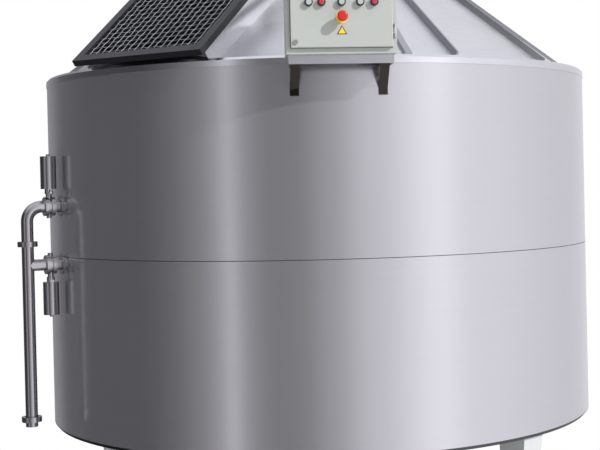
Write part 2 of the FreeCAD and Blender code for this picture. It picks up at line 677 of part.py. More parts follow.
def valve_body():
    """A butterfly valve about a pipe along Y, with its stem along Z, centred on the origin."""
    parts = [rod(VALVE_WAIST_R, (0, -VALVE_HALF, 0), (0, VALVE_HALF, 0))]
    for side in (-1, 1):
        parts.append(rod(VALVE_FLANGE_R, (0, side * VALVE_WAIST_T / 2, 0), (0, side * VALVE_HALF, 0)))
    parts.append(rod(13, (0, 0, 20), (0, 0, ACTUATOR_OUT - YOKE_H)))
    parts.append(rod(11, (0, 0, -VALVE_FLANGE_R - 9), (0, 0, -20)))
    body = joined(*parts)
    body = body.cut(rod(BORE_R, (0, -60, 0), (0, 60, 0)))
    return body.cut(rod(STEM_R + RUN, (0, 0, -VALVE_FLANGE_R), (0, 0, ACTUATOR_OUT)))


def valve_disc(stem_top):
    stem = rod(STEM_R, (0, 0, -VALVE_FLANGE_R + 1), (0, 0, stem_top))
    disc = rod(BORE_R - 0.5, (0, -DISC_T / 2, 0), (0, DISC_T / 2, 0))
    return joined(disc, stem)


def actuator_housing():
    low, high = ACTUATOR_OUT, ACTUATOR_OUT + ACTUATOR_L
    drum = rod(ACTUATOR_R, (0, 0, low), (0, 0, high))
    hollow = rod(ACTUATOR_R - ACTUATOR_WALL, (0, 0, low + 8), (0, 0, high - 8))
    yoke = rod(YOKE_R, (0, 0, low - YOKE_H), (0, 0, low))
    pads = [block(-24, 24, -9, 9, low - 10, low), rod(8, (0, 0, high), (0, 0, high + 9))]
    housing = joined(drum.cut(hollow), yoke, *pads)
    return housing.cut(rod(STEM_R + RUN, (0, 0, low - YOKE_H - 8), (0, 0, low + 20)))


def piston():
    z = ACTUATOR_OUT + 16
    outside = ACTUATOR_R - ACTUATOR_WALL - RUN
    return tube(outside, outside - STEM_R - RUN, (0, 0, z), (0, 0, z + PISTON_T))


def air_fitting():
    """An elbow for the air hose, screwed into the yoke below the actuator's foot."""
    z = ACTUATOR_OUT - YOKE_H + 6
    riser = rod(4, (YOKE_R + 12, 0, z), (YOKE_R + 12, 0, z + 14))
    return joined(rod(5, (YOKE_R, 0, z), (YOKE_R + 17, 0, z)), riser)


def milk_valves():
    placed = {}
    for name, z, hangs in (("upper", UPPER_Z, False), ("lower", LOWER_Z, True)):
        pieces = {"body": valve_body(), "disc": valve_disc(ACTUATOR_OUT + STEM_RISE),
                  "housing": actuator_housing(), "piston": piston(), "air": air_fitting()}
        for piece, shape in pieces.items():
            if hangs:
                shape.rotate(V(0, 0, 0), V(0, 1, 0), 180)
            shape.translate(V(0, -STEM_AT, z))
            placed[name, piece] = to_azimuth(shape, VALVES_AZ)
    for node, piece in (("valve_bodies", "body"), ("actuator_housings", "housing"), ("air_fittings", "air")):
        save(node, placed["upper", piece], placed["lower", piece])
    for name in ("upper", "lower"):
        save(f"{name}_disc", placed[name, "disc"])
        save(f"{name}_piston", placed[name, "piston"])


def nozzles():
    face = -SHELL_R - GAP
    pieces = []
    for z in (UPPER_Z, LOWER_Z):
        pieces.append(tube(PIPE_R, PIPE_T, (0, -VESSEL_IN_R, z), (0, -STEM_AT + VALVE_HALF, z)))
        pieces.append(tube(ROSETTE_R, ROSETTE_R - PIPE_R - GAP, (0, face, z), (0, face - ROSETTE_T, z)))
    save("nozzles", *[to_azimuth(piece, VALVES_AZ) for piece in pieces])


def milk_pipes():
    far = -STEM_AT - VALVE_HALF
    y = -DOWN_R
    mid = GROUND + MID_UNION_H
    drop = UPPER_Z - BEND_R
    elbow = [tube(PIPE_R, PIPE_T, (0, far, UPPER_Z), (0, y + BEND_R, UPPER_Z)),
             bend(PIPE_R, PIPE_T, (0, y + BEND_R, drop), (0, y + BEND_R, UPPER_Z), (1, 0, 0)),
             tube(PIPE_R, PIPE_T, (0, y, drop), (0, y, mid + 1)),
             tube(COLLAR_R, COLLAR_R - BORE_R, (0, y, mid + 1), (0, y, mid + COLLAR_HALF))]
    save("pipe_elbow", to_azimuth(joined(*elbow), VALVES_AZ))

    end = GROUND + DOWN_PIPE_END_H
    end_nut = GROUND + END_UNION_H
    outside = [rod(PIPE_R, (0, y, mid), (0, y, end)),
               rod(PIPE_R - TEE_STEP, (0, far, LOWER_Z), (0, y, LOWER_Z)),
               rod(COLLAR_R, (0, y, mid - COLLAR_HALF), (0, y, mid)),
               rod(COLLAR_R, (0, y, end_nut - COLLAR_HALF), (0, y, end_nut + COLLAR_HALF))]
    inside = [rod(BORE_R, (0, y, end - 1), (0, y, mid + 1)),
              rod(BORE_R - TEE_STEP, (0, far + 1, LOWER_Z), (0, y, LOWER_Z))]
    save("decanting_pipe", to_azimuth(cut_all(joined(*outside), inside), VALVES_AZ))
    save("union_nuts", *[to_azimuth(union_nut(z, y), VALVES_AZ) for z in (mid, end_nut)])


def outlet():
    """Bottom outlet: down from the vessel floor, back under the tank to a hand valve."""
    top = FLOOR_MID_Z + VESSEL_T
    corner = OUTLET_BEND_R
    valve_y = OUTLET_LEN + VALVE_HALF
    tail_y = valve_y + VALVE_HALF
    z = OUTLET_Z
    pipe = joined(tube(PIPE_R, PIPE_T, (0, 0, z + corner), (0, 0, top)),
                  bend(PIPE_R, PIPE_T, (0, corner, z + corner), (0, 0, z + corner), (1, 0, 0)),
                  tube(PIPE_R, PIPE_T, (0, corner, z), (0, OUTLET_LEN, z)))
    save("outlet_pipe", pipe, tube(PIPE_R, PIPE_T, (0, tail_y, z), (0, tail_y + OUTLET_TAIL, z)))
    save("outlet_valve", valve_body().translated(V(0, valve_y, z)))
    lever_z = ACTUATOR_OUT - YOKE_H + 1
    handle = joined(valve_disc(lever_z + 11), rod(12, (0, 0, lever_z), (0, 0, lever_z + 11)),
                    block(0, LEVER_L, -9, 9, lever_z + 3, lever_z + 9))
    save("outlet_handle", handle.translated(V(0, valve_y, z)))


# ---- legs ----
def legs():
    top_z = GROUND - BASE_PLATE_T - BASE_RING_T

    def section(width, depth, z, shrink):
        half = width / 2 - shrink
        low, high = -LEG_INNER_R - depth + shrink, -LEG_INNER_R - shrink
        points = [V(-half, low, z), V(half, low, z), V(half, high, z), V(-half, high, z)]
        return Part.makePolygon(points + points[:1])

    solids = []
    for azimuth in LEG_AZIMUTHS:
        outer, inner = [Part.makeLoft([section(LEG_FOOT, LEG_FOOT, FOOT_T, shrink),
                                       section(LEG_TOP, LEG_TOP, top_z, shrink)], True, True)
                        for shrink in (0, LEG_T)]
        foot = block(-FOOT_W / 2, FOOT_W / 2, -LEG_INNER_R - FOOT_L + 10, -LEG_INNER_R + 10, 0, FOOT_T)
        foot = foot.cut(rod(ANCHOR_HOLE_R, (0, -ANCHOR_PCD / 2, -1), (0, -ANCHOR_PCD / 2, FOOT_T + 1)))
        solids.append(to_azimuth(joined(outer.cut(inner), foot), azimuth))
    save("legs", *solids)


# ---- control box ----
def on_box(*shapes):
    return [to_azimuth(shape, BOX_AZ) for shape in shapes]


def box_body():
    half = BOX_W / 2
    outer = block(-half, half, -BOX_FRONT, -BOX_BACK, BOX_Z, BOX_Z + BOX_H)
    inside = block(-half + BOX_SHEET, half - BOX_SHEET, -BOX_FRONT + BOX_SHEET, -BOX_BACK - BOX_SHEET,
                   BOX_Z + BOX_SHEET, BOX_Z + BOX_H - BOX_SHEET)
    mouth = block(-half + BOX_LIP, half - BOX_LIP, -BOX_FRONT - 1, -BOX_FRONT + BOX_SHEET + 1,
                  BOX_Z + BOX_LIP, BOX_Z + BOX_H - BOX_LIP)
    body = outer.cut(inside).cut(mouth)
    spindle = rod(7, (half - 10, -BOX_BACK - BOX_D / 2, BOX_Z + SWITCH_Z),
                  (half + 10, -BOX_BACK - BOX_D / 2, BOX_Z + SWITCH_Z))
    z = BOX_Z + GLAND_H
    holes = [rod(8 + GAP, (x, -BOX_BACK - 10, z), (x, -BOX_BACK + 10, z)) for x in GLAND_XS]
    save("box_body", *on_box(cut_all(body, [spindle] + holes)))

    glands = []
    for x in GLAND_XS:
        glands.append(joined(rod(8, (x, -BOX_BACK - 9, z), (x, -BOX_BACK + 26, z)),
                             rod(12, (x, -BOX_BACK, z), (x, -BOX_BACK + 6, z)),
                             rod(12, (x, -BOX_BACK - 9, z), (x, -BOX_BACK - BOX_SHEET, z)),
                             rod(11, (x, -BOX_BACK + 8, z), (x, -BOX_BACK + 22, z))))
    save("cable_glands", *on_box(*glands))


def switchgear():
    wall = -BOX_BACK - BOX_SHEET
    spacers = [rod(6, (x, wall, BOX_Z + z), (x, wall - 7, BOX_Z + z)) for x in (-150, 150)
               for z in (110, 450)]
    backplate = joined(block(-170, 170, wall - 9, wall - 7, BOX_Z + 90, BOX_Z + BOX_H - 30), *spacers)
    face = wall - 9
    rails = [block(-150, 150, face - 8, face, BOX_Z + z - 17, BOX_Z + z + 17) for z in (170, 380)]
    units = []
    for z, count, width, depth in ((170, 4, 44, 62), (380, 10, 18, 55)):
        for index in range(count):
            x = -140 + index * (width + 8)
            units.append(block(x, x + width, face - 8 - depth, face - 8, BOX_Z + z - 40, BOX_Z + z + 40))
    save("switchgear", *on_box(backplate, *rails, *units))


def device_hole(x, z, radius):
    return rod(radius, (x, -BOX_FRONT + 5, BOX_Z + z), (x, -DOOR_FRONT - 5, BOX_Z + z))


def box_door():
    half = DOOR_W / 2
    low, high = BOX_Z + DOOR_INSET_Z, BOX_Z + BOX_H - DOOR_INSET_Z
    outer = block(-half, half, -DOOR_FRONT, -BOX_FRONT - GAP, low, high)
    edges = [edge for edge in outer.Edges if abs(edge.CenterOfMass.y + DOOR_FRONT) < 0.01]
    outer = outer.makeFillet(3, edges)
    pan = block(-half + DOOR_SHEET, half - DOOR_SHEET, -DOOR_FRONT + DOOR_SHEET, -BOX_FRONT,
                low + DOOR_SHEET, high - DOOR_SHEET)
    door = outer.cut(pan)
    holes = [device_hole(x, DEVICE_ROW_Z, CUT_OUT_R + GAP) for x in LAMP_XS + BUTTON_XS]
    holes.append(device_hole(0, ESTOP_Z, CUT_OUT_R + GAP))
    holes += [device_hole(-half + LOCK_INSET, z, LOCK_R - 3 + GAP) for z in LOCK_ZS]
    window_x, window_z, middle = CONTROLLER_W / 2 - 4, CONTROLLER_H / 2 - 4, BOX_Z + CONTROLLER_Z
    holes.append(block(-window_x, window_x, -DOOR_FRONT - 5, -BOX_FRONT,
                       middle - window_z, middle + window_z))
    door = cut_all(door, holes)
    x, y = half + HINGE_OFFSET, -BOX_FRONT - DOOR_T / 2
    middles = [BOX_Z + z for z in DOOR_HINGE_ZS]
    for z in middles:
        knuckle = rod(KNUCKLE_R, (x, y, z - KNUCKLE_H), (x, y, z + KNUCKLE_H))
        arm = block(half - 1, x, y - 2, y + 2, z - KNUCKLE_H, z + KNUCKLE_H)
        door = joined(door, knuckle, arm).cut(rod(DOOR_PIN_R + RUN, (x, y, z - 20), (x, y, z + 20)))
    save("box_door", *on_box(door))

    hinges = []
    for z in middles:
        pieces = [rod(DOOR_PIN_R, (x, y, z - 2 * KNUCKLE_H), (x, y, z + 2 * KNUCKLE_H))]
        for low, high in ((-2 * KNUCKLE_H, -KNUCKLE_H - GAP), (KNUCKLE_H + GAP, 2 * KNUCKLE_H)):
            pieces.append(rod(KNUCKLE_R, (x, y, z + low), (x, y, z + high)))
            pieces.append(block(x - 5, x + 5, y, -BOX_FRONT, z + low, z + high))
        hinges.append(joined(*pieces))
    save("door_hinges", *on_box(*hinges))


def door_locks():
    half = DOOR_W / 2
    for name, z in zip(("lock_lower", "lock_upper"), LOCK_ZS):
        x = -half + LOCK_INSET
        body = joined(rod(LOCK_R - 3, (x, -DOOR_FRONT + 8, BOX_Z + z), (x, -DOOR_FRONT, BOX_Z + z)),
                      rod(LOCK_R, (x, -DOOR_FRONT, BOX_Z + z), (x, -DOOR_FRONT - 5, BOX_Z + z)))
        slot = block(x - 6, x + 6, -DOOR_FRONT - 6, -DOOR_FRONT - 3, BOX_Z + z - 1.2, BOX_Z + z + 1.2)
        save(name, *on_box(body.cut(slot)))


def door_devices():
    z = BOX_Z + DEVICE_ROW_Z
    front = -DOOR_FRONT
    housings, lenses = [], []
    for x in LAMP_XS + BUTTON_XS:
        bezel = tube(BEZEL_R, BEZEL_R - CAP_R - 0.5, (x, front, z), (x, front - BEZEL_OUT, z))
        seat = tube(BEZEL_R, BEZEL_R - 8, (x, front, z), (x, front - 3, z))
        neck = tube(CUT_OUT_R, CUT_OUT_R - CAP_R + 3, (x, front + 10, z), (x, front, z))
        contacts = block(x - CONTACT_BLOCK / 2, x + CONTACT_BLOCK / 2, front + 10, front + 10 + CONTACT_DEPTH,
                         z - CONTACT_BLOCK / 2, z + CONTACT_BLOCK / 2)
        housings.append(joined(bezel, seat, neck, contacts))
    save("button_housings", *on_box(*housings))
    for x in LAMP_XS:
        lens = rod(CAP_R, (x, front - 3, z), (x, front - BEZEL_OUT - 4, z))
        rim = [edge for edge in lens.Edges if abs(edge.CenterOfMass.y - (front - BEZEL_OUT - 4)) < 0.01]
        lamp_neck = rod(LAMP_NECK_R, (x, front + 10, z), (x, front - 3, z))
        lenses.append(joined(lens.makeFillet(3, rim), lamp_neck))
    save("lamp_lenses", *on_box(*lenses))
    for name, x in zip(("button_left", "button_middle", "button_right"), BUTTON_XS):
        cap = rod(CAP_R, (x, front - BEZEL_OUT + 6, z), (x, front - BEZEL_OUT - 3, z))
        rim = [edge for edge in cap.Edges if abs(edge.CenterOfMass.y - (front - BEZEL_OUT - 3)) < 0.01]
        stem = rod(BUTTON_STEM_R, (x, front + 10 - BUTTON_TRAVEL - 1, z), (x, front - BEZEL_OUT + 6, z))
        save(name, *on_box(joined(cap.makeFillet(1.2, rim), stem)))


def emergency_stop():
    """A mushroom head on a long stem, in a collar with a yellow backing ring."""
    z = BOX_Z + ESTOP_Z
    front = -DOOR_FRONT
    collar_r, bore = 14.0, ESTOP_NECK_R + RUN
    backing = tube(ESTOP_BACKING_R, ESTOP_BACKING_R - collar_r, (0, front, z), (0, front - 2, z))
    collar = tube(collar_r, collar_r - bore, (0, front, z), (0, front - 18, z))
    neck = tube(CUT_OUT_R, CUT_OUT_R - bore, (0, front + 10, z), (0, front, z))
    contacts = block(-20, 20, front + 10, front + 10 + CONTACT_DEPTH, z - 20, z + 20)
    save("estop_base", *on_box(backing, joined(collar, neck, contacts)))

    tip = front - ESTOP_OUT
    head_back = tip + ESTOP_HEAD_T
    pin_end = head_back - 12
    stem = joined(rod(ESTOP_NECK_R, (0, front + 10 - ESTOP_TRAVEL - 1, z), (0, head_back, z)),
                  rod(ESTOP_PIN_R, (0, head_back, z), (0, pin_end, z)))
    save("estop_stem", *on_box(stem))
    head = rod(ESTOP_HEAD_R, (0, head_back, z), (0, tip, z))
    edges = [edge for edge in head.Edges if abs(edge.CenterOfMass.y - tip) < 0.01]
    socket = rod(ESTOP_PIN_R + RUN, (0, head_back + 1, z), (0, pin_end - GAP, z))
    save("estop_head", *on_box(head.makeFillet(8, edges).cut(socket)))


def side_switch_and_controller():
    x, y, z = BOX_W / 2, -BOX_BACK - BOX_D / 2, BOX_Z + SWITCH_Z
    half = SWITCH_PLATE / 2
    plate_shape = block(x, x + 4, y - half, y + half, z - half, z + half)
    boss = rod(19, (x + 4, y, z), (x + 10, y, z))
    contacts = block(x - BOX_SHEET - 45, x - BOX_SHEET, y - 24, y + 24, z - 24, z + 24)
    body = joined(plate_shape, boss, contacts, rod(7 - GAP, (x - BOX_SHEET - 1, y, z), (x, y, z)))
    save("switch_plate", *on_box(body.cut(rod(4 + RUN, (x - 20, y, z), (x + 20, y, z)))))
    handle = joined(rod(4, (x - 18, y, z), (x + 11, y, z)), rod(18, (x + 10 + GAP, y, z), (x + 20, y, z)),
                    block(x + 20, x + 38, y - 5, y + 5, z - 22, z + 22))
    save("switch_handle", *on_box(handle))

    half_w, half_h, front = CONTROLLER_W / 2, CONTROLLER_H / 2, -DOOR_FRONT
    mid = BOX_Z + CONTROLLER_Z
    bezel = block(-half_w, half_w, front - 6, front, mid - half_h, mid + half_h)
    rear = block(-half_w + 5, half_w - 5, front, front + 50, mid - half_h + 5, mid + half_h - 5)
    window = block(-half_w + 14, half_w - 40, front - 7, front - 4.5, mid - half_h + 34, mid + half_h - 12)
    save("controller", *on_box(joined(bezel, rear).cut(window)))


def box_support():
    half = SHELF_W / 2
    front = -SHELL_R - SHELF_OUT
    back = -SHELL_R - 4
    top = BOX_Z
    tray = block(-half, half, front, back, top - SHELF_T, top)
    lips = [block(-half, half, front, front + SHELF_T, top - SHELF_LIP, top),
            block(-half, -half + SHELF_T, front, back, top - SHELF_LIP, top),
            block(half - SHELF_T, half, front, back, top - SHELF_LIP, top)]
    rises = [block(x - 30, x + 30, back - SHELF_T, back, top - SHELF_LIP, top + 200) for x in (-120, 120)]
    save("box_shelf", *on_box(joined(tray, *lips, *rises)))

    foot_az = math.degrees(math.asin(BRACE_X / SHELL_R))
    wall_y = -math.sqrt(SHELL_R ** 2 - BRACE_X ** 2)
    under = top - SHELF_T
    low = under - BRACE_DROP
    out_y = wall_y - BRACE_DROP
    thick = BRACE_T * math.sqrt(2)
    bar = [(out_y, under), (out_y + thick, under), (wall_y, low + thick), (wall_y, low)]
    room = rod(SHELL_R + GAP, (0, 0, low - 100), (0, 0, under + 10))
    half = BRACE_W / 2
    braces = []
    for side in (-1, 1):
        x = side * BRACE_X
        strip = plate(bar, "x", x - half, BRACE_W)
        shoe = block(-half, half, -SHELL_R - GAP - 4, -SHELL_R - GAP, low - 22, low + 34)
        head = block(x - half, x + half, out_y, out_y + 50, under - 4, under)
        braces.append(joined(strip, head, to_azimuth(shoe, side * foot_az)).cut(room))
    save("shelf_braces", *on_box(*braces))


shell()
vessel()
cooling_plate()
insulation()
roof()
hatch()
grille_frame()
grille_wires()
drive_flange()
gearbox()
motor()
agitator_blades()
cleaning_head()
thermometer_pocket()
milk_valves()
nozzles()
milk_pipes()
outlet()
legs()
box_body()
switchgear()
box_door()
door_locks()
door_devices()
emergency_stop()
side_switch_and_controller()
box_support()
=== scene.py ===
# %% [markdown]
# # Bulk milk tank
# An upright stainless tank, two and a half metres across, with a conical roof, a grille over its hatch,
# a control box and decanting valves. The CAD frame gives the parts and where they are. This lesson gives
# each part the finish it leaves the workshop with, and adds the small things that CAD leaves out: nuts,
# weld beads, the woven grille, the door's gasket and a plain warning triangle. Lengths are metres, +Z is
# up and -Y is the front.

# %% Load the frame
import math
import json

import bmesh
import bpy
from mathutils import Matrix, Vector


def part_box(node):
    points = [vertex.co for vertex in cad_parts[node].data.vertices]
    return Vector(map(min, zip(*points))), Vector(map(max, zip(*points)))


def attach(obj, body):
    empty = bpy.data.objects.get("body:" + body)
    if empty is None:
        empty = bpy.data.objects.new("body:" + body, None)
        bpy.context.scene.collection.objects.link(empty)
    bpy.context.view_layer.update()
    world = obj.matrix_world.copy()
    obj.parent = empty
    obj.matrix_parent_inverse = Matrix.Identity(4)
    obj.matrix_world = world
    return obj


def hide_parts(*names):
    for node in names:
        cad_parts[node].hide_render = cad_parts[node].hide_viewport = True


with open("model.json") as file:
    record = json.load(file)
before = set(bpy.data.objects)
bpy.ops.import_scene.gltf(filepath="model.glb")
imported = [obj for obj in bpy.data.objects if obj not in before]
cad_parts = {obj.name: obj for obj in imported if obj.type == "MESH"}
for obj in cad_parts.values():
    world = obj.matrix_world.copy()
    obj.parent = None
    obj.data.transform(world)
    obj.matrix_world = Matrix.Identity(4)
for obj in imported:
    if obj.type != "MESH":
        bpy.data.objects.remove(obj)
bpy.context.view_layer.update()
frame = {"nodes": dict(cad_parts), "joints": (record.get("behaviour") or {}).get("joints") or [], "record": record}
nodes = frame["nodes"]
MM = 0.001

# %% [markdown]
# ## Places that the later steps use
# The jacket's box gives the shell's radius and its base, and the joints give the control box, the hatch
# and the valves. Their direction is an azimuth about the tank's axis, from the front, positive to the
# right. Three short functions turn that into places. Some small sizes, such as the hatch's tilt, the
# grille, the door's edges and the pipe, are typed again here, and must follow the CAD if it changes.

# %% Places
SHELL_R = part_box("upper_jacket")[1].x
BASE_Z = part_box("lower_jacket")[0].z
JOINTS = {joint["name"]: joint for joint in frame["joints"]}


def azimuth_of(point):
    return math.atan2(point[0], -point[1])


def radial(azimuth, radius, z):
    """A point `radius` out along an azimuth, at height `z`."""
    return Vector((math.sin(azimuth), -math.cos(azimuth), 0)) * radius + Vector((0, 0, z))


def local_axes(azimuth):
    """The right, inward and up directions at an azimuth, as a rotation."""
    return Matrix.Rotation(azimuth, 4, "Z")


BOX_AZ = azimuth_of(JOINTS["estop_twist"]["pos_m"])
VALVES_AZ = azimuth_of(JOINTS["upper_valve_turn"]["pos_m"])
print("box at", round(math.degrees(BOX_AZ), 2), "valves at", round(math.degrees(VALVES_AZ), 2))

# %% [markdown]
# ## A short way to write node trees
# Materials, node groups and Geometry Nodes are all trees of nodes and links. `Tree` adds a node, sets
# its properties and feeds its inputs in one call, so that a tree reads like a recipe. An input is given
# a number, or another node's output, which makes a link.


# %% Node tree helper
class Tree:
    def __init__(self, tree):
        self.tree = tree

    def add(self, kind, inputs=None, **properties):
        node = self.tree.nodes.new(kind)
        for name, value in properties.items():
            setattr(node, name, value)
        for key, value in (inputs or {}).items():
            self.feed(node.inputs[key], value)
        return node

    def feed(self, socket, value):
        if isinstance(value, bpy.types.NodeSocket):
            self.tree.links.new(value, socket)
        elif isinstance(value, bpy.types.Node):
            self.tree.links.new(next(out for out in value.outputs if out.enabled), socket)
        else:
            socket.default_value = value

    def math(self, operation, first, second=0.0):
        return self.add("ShaderNodeMath", {0: first, 1: second}, operation=operation).outputs[0]

    def noise(self, vector, scale, detail=3.0, roughness=0.5):
        inputs = {"Vector": vector, "Scale": scale, "Detail": detail, "Roughness": roughness}
        return self.add("ShaderNodeTexNoise", inputs).outputs[0]

    def stretch(self, vector, scale):
        return self.add("ShaderNodeMapping", {"Vector": vector, "Scale": scale}).outputs[0]

    def remap(self, value, low, high, to_low, to_high):
        inputs = {"Value": value, 1: low, 2: high, 3: to_low, 4: to_high}
        return self.add("ShaderNodeMapRange", inputs).outputs[0]


def shader_group(name, inputs, outputs):
    """A shader node group with named sockets: {name: (socket type, default)}."""
    tree = bpy.data.node_groups.new(name, "ShaderNodeTree")
    for label, (kind, default) in inputs.items():
        socket = tree.interface.new_socket(label, in_out="INPUT", socket_type=kind)
        if default is not None:
            socket.default_value = default
    for label, kind in outputs.items():
        tree.interface.new_socket(label, in_out="OUTPUT", socket_type=kind)
    kit = Tree(tree)
    return kit, tree.nodes.new("NodeGroupInput"), tree.nodes.new("NodeGroupOutput")


# %% [markdown]
# ## Effects that many finishes share
# Stainless sheet is rolled and then brushed. The brush leaves fine lines one way, the rolling leaves
# long soft waves that bend reflections, and hands leave patches that are a little duller. Each effect is
# one node group, so the jacket, roof and pipes can all use it at their own strength.

# %% Shared effects
FLOAT, VECTOR = "NodeSocketFloat", "NodeSocketVector"


def brushed_grain():
    """Fine lines along one direction, as a mask from 0 to 1."""
    kit, start, end = shader_group("brushed_grain", {"Direction Scale": (VECTOR, (4, 4, 900))},
                                   {"Grain": FLOAT})
    place = kit.add("ShaderNodeTexCoord").outputs["Object"]
    lines = kit.add("ShaderNodeVectorMath", {0: place, 1: start.outputs[0]}, operation="MULTIPLY").outputs[0]
    fine = kit.noise(lines, 1.0, 4.0, 0.6)
    coarse = kit.noise(lines, 0.23, 2.0)
    mix = kit.math("ADD", kit.math("MULTIPLY", fine, 0.65), kit.math("MULTIPLY", coarse, 0.35))
    kit.feed(end.inputs["Grain"], mix)
    return kit.tree


def handling_marks():
    """Dull patches and wiped streaks, from 0 where clean to 1."""
    kit, start, end = shader_group("handling_marks", {"Patch Size": (FLOAT, 0.5), "Amount": (FLOAT, 0.5)},
                                   {"Marks": FLOAT})
    place = kit.add("ShaderNodeTexCoord").outputs["Object"]
    near = kit.add("ShaderNodeVectorMath", {0: place, "Scale": kit.math("DIVIDE", 1.0, start.outputs[0])},
                   operation="SCALE").outputs[0]
    patch = kit.remap(kit.noise(near, 1.0, 5.0, 0.62), 0.45, 0.75, 0.0, 1.0)
    wiped = kit.noise(kit.stretch(near, (1.0, 1.0, 0.16)), 3.0, 4.0, 0.55)
    streak = kit.remap(wiped, 0.5, 0.78, 0.0, 0.6)
    total = kit.math("MULTIPLY", kit.math("MAXIMUM", patch, streak), start.outputs[1])
    kit.feed(end.inputs["Marks"], total)
    return kit.tree


def soft_dents():
    """Long shallow waves in thin sheet, as a height from 0 to 1."""
    kit, start, end = shader_group("soft_dents", {"Wave Size": (FLOAT, 0.6)}, {"Height": FLOAT})
    place = kit.add("ShaderNodeTexCoord").outputs["Object"]
    wide = kit.add("ShaderNodeVectorMath", {0: place, "Scale": kit.math("DIVIDE", 1.0, start.outputs[0])},
                   operation="SCALE").outputs[0]
    kit.feed(end.inputs["Height"], kit.noise(kit.stretch(wide, (1.0, 1.0, 0.35)), 1.0, 1.5, 0.4))
    return kit.tree


def fine_speckle():
    """The pebbled skin of powder coat or moulded plastic, as a height from 0 to 1."""
    kit, start, end = shader_group("fine_speckle", {"Per Metre": (FLOAT, 900.0)}, {"Height": FLOAT})
    place = kit.add("ShaderNodeTexCoord").outputs["Object"]
    cells = kit.add("ShaderNodeTexVoronoi", {"Vector": place, "Scale": start.outputs[0]}).outputs[0]
    grit = kit.noise(place, start.outputs[0], 2.0)
    both = kit.math("ADD", cells, grit)
    kit.feed(end.inputs["Height"], kit.math("MULTIPLY", both, 0.5))
    return kit.tree


def settled_dust():
    """Dust that stays on faces that look up, from 0 to 1."""
    kit, start, end = shader_group("settled_dust", {"Amount": (FLOAT, 0.3)}, {"Dust": FLOAT})
    geometry = kit.add("ShaderNodeNewGeometry")
    up = kit.add("ShaderNodeSeparateXYZ", {0: geometry.outputs["Normal"]}).outputs[2]
    place = kit.add("ShaderNodeTexCoord").outputs["Object"]
    patchy = kit.remap(kit.noise(place, 7.0, 6.0, 0.6), 0.35, 0.7, 0.2, 1.0)
    facing = kit.remap(up, 0.35, 1.0, 0.0, 1.0)
    kit.feed(end.inputs["Dust"], kit.math("MULTIPLY", kit.math("MULTIPLY", facing, patchy), start.outputs[0]))
    return kit.tree


GRAIN, MARKS, DENTS = brushed_grain(), handling_marks(), soft_dents()
SPECKLE, DUST = fine_speckle(), settled_dust()

# %% [markdown]
# ## Metal finishes
# One function makes every bare metal, because they differ only in colour, polish and how much grain,
# waviness and handling they show. Colour and roughness vary over the surface, and dust lowers Metallic.


# %% Metal
def group_node(kit, tree, **inputs):
    node = kit.add("ShaderNodeGroup", node_tree=tree)
    for label, value in inputs.items():
        kit.feed(node.inputs[label.replace("_", " ").title()], value)
    return node.outputs[0]


def new_material(name):
    material = bpy.data.materials.new(name)
    material.use_nodes = True
    kit = Tree(material.node_tree)
    return material, kit, material.node_tree.nodes["Principled BSDF"]


def mix_colors(kit, amount, first, second):
    inputs = {0: amount, 6: first, 7: second}
    return kit.add("ShaderNodeMix", inputs, data_type="RGBA").outputs[2]


DUST_ON_METAL, DUST_ON_PAINT = (0.42, 0.4, 0.37, 1), (0.46, 0.44, 0.4, 1)
MARK_SHADE, MARK_COVER, MARK_ROUGH = 0.8, 0.35, 0.12
DUST_COVER, DUST_ROUGH = 0.7, 0.4
GRAIN_STRENGTH, TENTH = 0.35, 0.1


def metal(name, color, polish, grain=(4, 4, 900), grain_depth=0.25, wave=0.6, wave_depth=0.0, marks=0.35,
          patch=0.5, dust=0.1, contrast=0.1, bare=1.0):
    """Metal. `polish` is the mean roughness and `bare` is Metallic before dust: under 1, shadows show more.
    `wave_depth` is in millimetres and `grain_depth` in tenths of one."""
    material, kit, shader = new_material(name)
    lines = group_node(kit, GRAIN, direction_scale=grain)
    dull = group_node(kit, MARKS, patch_size=patch, amount=marks)
    powder = group_node(kit, DUST, amount=dust)
    dark = [channel * (1 - contrast) for channel in color]
    base = mix_colors(kit, kit.remap(lines, 0.3, 0.7, 0.0, 1.0), (*dark, 1), (*color, 1))
    base = mix_colors(kit, kit.math("MULTIPLY", dull, MARK_COVER), base,
                      (*[c * MARK_SHADE for c in color], 1))
    kit.feed(shader.inputs["Base Color"], mix_colors(kit, powder, base, DUST_ON_METAL))
    grained = kit.remap(lines, 0.3, 0.7, polish * (1 - contrast), polish * (1 + contrast))
    rough = kit.math("ADD", grained, kit.math("MULTIPLY", dull, MARK_ROUGH))
    kit.feed(shader.inputs["Roughness"], kit.math("ADD", rough, kit.math("MULTIPLY", powder, DUST_ROUGH)))
    kit.feed(shader.inputs["Metallic"], kit.math("SUBTRACT", bare, kit.math("MULTIPLY", powder, DUST_COVER)))
    shape = group_node(kit, DENTS, wave_size=wave)
    wide = {"Height": shape, "Strength": 1.0, "Distance": wave_depth * MM}
    wavy = kit.add("ShaderNodeBump", wide).outputs[0]
    fine = {"Height": lines, "Strength": GRAIN_STRENGTH, "Distance": grain_depth * TENTH * MM, "Normal": wavy}
    kit.feed(shader.inputs["Normal"], kit.add("ShaderNodeBump", fine).outputs[0])
    return material


